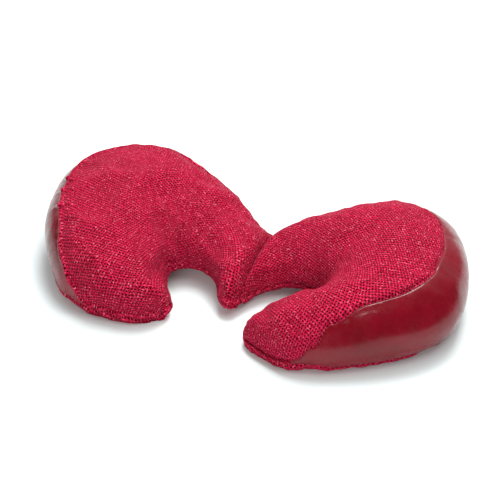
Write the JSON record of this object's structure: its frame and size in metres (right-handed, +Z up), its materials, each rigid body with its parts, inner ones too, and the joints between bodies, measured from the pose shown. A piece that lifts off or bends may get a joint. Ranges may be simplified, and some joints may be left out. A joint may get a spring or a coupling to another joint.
{
  "type": "double crescent support cushion",
  "caption": "Soft stuffed cushion of twin crescent lobes in knitted mesh, each with a glossy leatherette rim gusset, joined at a flexible sewn waist.",
  "frame": {"origin": "centre of the footprint, on the surface the cushion rests on", "axes": "+X along the longest side, from the left lobe to the right lobe; +Y towards the back; +Z up"},
  "size_m": [0.3608, 0.2733, 0.0708],
  "materials": {
    "knit": "knitted mesh, matt",
    "leatherette": "glossy, fine grain",
    "thread": "twisted thread",
    "web_tape": "doubled knit",
    "fibre": "carded fibre"
  },
  "bodies": {
    "left_lobe": {"left_top_panel": "knit", "left_bottom_panel": "knit", "left_rim_gusset": "leatherette", "left_upper_gusset_seam": "thread", "left_lower_gusset_seam": "thread", "left_notch_seam": "thread", "left_finger_seam": "thread", "left_closing_stitches": "thread", "left_filling": "fibre"},
    "right_lobe": {"right_top_panel": "knit", "right_bottom_panel": "knit", "right_rim_gusset": "leatherette", "right_upper_gusset_seam": "thread", "right_lower_gusset_seam": "thread", "right_notch_seam": "thread", "right_finger_seam": "thread", "right_closing_stitches": "thread", "right_filling": "fibre"},
    "waist": {"waist_web": "web_tape", "waist_stitches": "thread"}
  },
  "joints": [
    {"name": "waist_fold", "type": "hinge", "parent": "left_lobe", "child": "waist", "pos_m": [0.004, -0.013, 0.0135], "axis": [-0.3584, -0.9336, 0], "range_deg": [-25, 45]},
    {"name": "waist_swing", "type": "hinge", "parent": "waist", "child": "right_lobe", "pos_m": [0.004, -0.013, 0.0135], "axis": [0, 0, 1], "range_deg": [-7, 7]}
  ]
}
